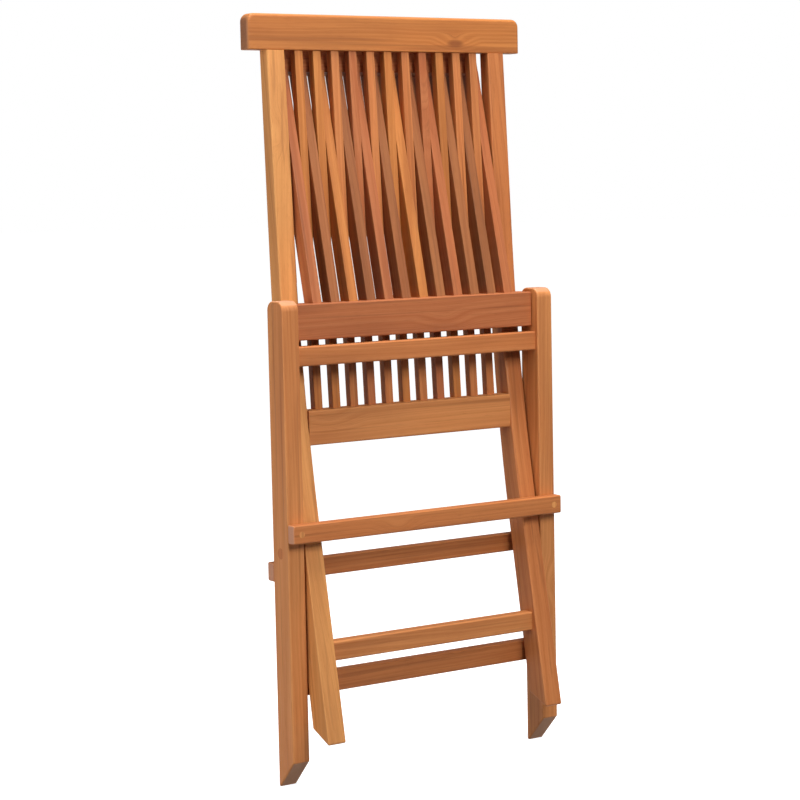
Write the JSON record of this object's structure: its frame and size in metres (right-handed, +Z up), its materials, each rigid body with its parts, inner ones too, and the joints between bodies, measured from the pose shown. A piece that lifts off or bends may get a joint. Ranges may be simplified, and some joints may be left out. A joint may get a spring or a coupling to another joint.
{
  "type": "folding garden chair",
  "caption": "Folding slatted wooden garden chair, shown folded flat: bent back frame, short crossing rear-leg frame and a hinged slatted seat.",
  "frame": {"origin": "On the ground under the middle of the folded chair's width and depth, at the lowest edge of the rear feet", "axes": "+Z up along the folded chair, -Y to its front, +X to the sitter's left"},
  "size_m": [0.47, 0.1764, 1.1],
  "materials": {
    "back_slat_01_wood": "fine-sanded hardwood with a light oil sheen",
    "back_slat_02_wood": "fine-sanded hardwood with a light oil sheen",
    "back_slat_03_wood": "fine-sanded hardwood with a light oil sheen",
    "back_slat_04_wood": "fine-sanded hardwood with a light oil sheen",
    "back_slat_05_wood": "fine-sanded hardwood with a light oil sheen",
    "back_slat_06_wood": "fine-sanded hardwood with a light oil sheen",
    "back_slat_07_wood": "fine-sanded hardwood with a light oil sheen",
    "back_slat_08_wood": "fine-sanded hardwood with a light oil sheen",
    "back_slat_09_wood": "fine-sanded hardwood with a light oil sheen",
    "back_slat_10_wood": "fine-sanded hardwood with a light oil sheen",
    "back_slat_11_wood": "fine-sanded hardwood with a light oil sheen",
    "back_stop_bar_wood": "fine-sanded hardwood with a light oil sheen",
    "bolt_head_plugs_wood": "fine-sanded hardwood with a light oil sheen",
    "crest_rail_wood": "fine-sanded hardwood with a light oil sheen",
    "front_leg_left_wood": "fine-sanded hardwood with a light oil sheen",
    "front_leg_right_wood": "fine-sanded hardwood with a light oil sheen",
    "front_stop_bar_wood": "fine-sanded hardwood with a light oil sheen",
    "front_stretcher_wood": "fine-sanded hardwood with a light oil sheen",
    "lower_back_rail_wood": "fine-sanded hardwood with a light oil sheen",
    "nut_plugs_wood": "fine-sanded hardwood with a light oil sheen",
    "rear_frame_top_rail_wood": "fine-sanded hardwood with a light oil sheen",
    "rear_leg_left_wood": "fine-sanded hardwood with a light oil sheen",
    "rear_leg_right_wood": "fine-sanded hardwood with a light oil sheen",
    "rear_seat_rail_wood": "fine-sanded hardwood with a light oil sheen",
    "rear_stretcher_wood": "fine-sanded hardwood with a light oil sheen",
    "seat_front_board_wood": "fine-sanded hardwood with a light oil sheen",
    "seat_slat_01_wood": "fine-sanded hardwood with a light oil sheen",
    "seat_slat_02_wood": "fine-sanded hardwood with a light oil sheen",
    "seat_slat_03_wood": "fine-sanded hardwood with a light oil sheen",
    "seat_slat_04_wood": "fine-sanded hardwood with a light oil sheen",
    "seat_slat_05_wood": "fine-sanded hardwood with a light oil sheen",
    "seat_slat_06_wood": "fine-sanded hardwood with a light oil sheen",
    "seat_slat_07_wood": "fine-sanded hardwood with a light oil sheen",
    "seat_slat_08_wood": "fine-sanded hardwood with a light oil sheen",
    "seat_slat_09_wood": "fine-sanded hardwood with a light oil sheen",
    "seat_slat_10_wood": "fine-sanded hardwood with a light oil sheen",
    "seat_slat_11_wood": "fine-sanded hardwood with a light oil sheen",
    "seat_slat_12_wood": "fine-sanded hardwood with a light oil sheen",
    "stop_bar_plugs_wood": "fine-sanded hardwood with a light oil sheen",
    "steel_hardware": "dull zinc-plated steel"
  },
  "bodies": {
    "rear_leg_frame": {"back_stop_bar": "back_stop_bar_wood", "bolt_head_plugs": "bolt_head_plugs_wood", "front_stop_bar": "front_stop_bar_wood", "pivot_bolt_left": "steel_hardware", "pivot_bolt_right": "steel_hardware", "pivot_nut_left": "steel_hardware", "pivot_nut_right": "steel_hardware", "pivot_washer_left": "steel_hardware", "pivot_washer_right": "steel_hardware", "rear_frame_top_rail": "rear_frame_top_rail_wood", "rear_leg_left": "rear_leg_left_wood", "rear_leg_right": "rear_leg_right_wood", "rear_stretcher": "rear_stretcher_wood", "stop_bar_plugs": "stop_bar_plugs_wood", "stop_bar_screws": "steel_hardware"},
    "back_frame": {"back_slat_01": "back_slat_01_wood", "back_slat_02": "back_slat_02_wood", "back_slat_03": "back_slat_03_wood", "back_slat_04": "back_slat_04_wood", "back_slat_05": "back_slat_05_wood", "back_slat_06": "back_slat_06_wood", "back_slat_07": "back_slat_07_wood", "back_slat_08": "back_slat_08_wood", "back_slat_09": "back_slat_09_wood", "back_slat_10": "back_slat_10_wood", "back_slat_11": "back_slat_11_wood", "crest_rail": "crest_rail_wood", "front_leg_left": "front_leg_left_wood", "front_leg_right": "front_leg_right_wood", "front_stretcher": "front_stretcher_wood", "lower_back_rail": "lower_back_rail_wood", "nut_plugs": "nut_plugs_wood"},
    "seat": {"rear_seat_rail": "rear_seat_rail_wood", "seat_front_board": "seat_front_board_wood", "seat_hinge_pin_left": "steel_hardware", "seat_hinge_pin_right": "steel_hardware", "seat_slat_01": "seat_slat_01_wood", "seat_slat_02": "seat_slat_02_wood", "seat_slat_03": "seat_slat_03_wood", "seat_slat_04": "seat_slat_04_wood", "seat_slat_05": "seat_slat_05_wood", "seat_slat_06": "seat_slat_06_wood", "seat_slat_07": "seat_slat_07_wood", "seat_slat_08": "seat_slat_08_wood", "seat_slat_09": "seat_slat_09_wood", "seat_slat_10": "seat_slat_10_wood", "seat_slat_11": "seat_slat_11_wood", "seat_slat_12": "seat_slat_12_wood"}
  },
  "joints": [
    {"name": "leg_pivot", "type": "hinge", "parent": "rear_leg_frame", "child": "back_frame", "pos_m": [0, -0.017, 0.34], "axis": [-1, 0, 0], "range_deg": [0, 68.2]},
    {"name": "seat_hinge", "type": "hinge", "parent": "rear_leg_frame", "child": "seat", "pos_m": [0, -0.0145, 0.665], "axis": [-1, 0, 0], "range_deg": [0, 128.6]}
  ],
  "couplings": [
    {"joint": "seat_hinge", "follows": "leg_pivot", "ratio": 1.885}
  ]
}
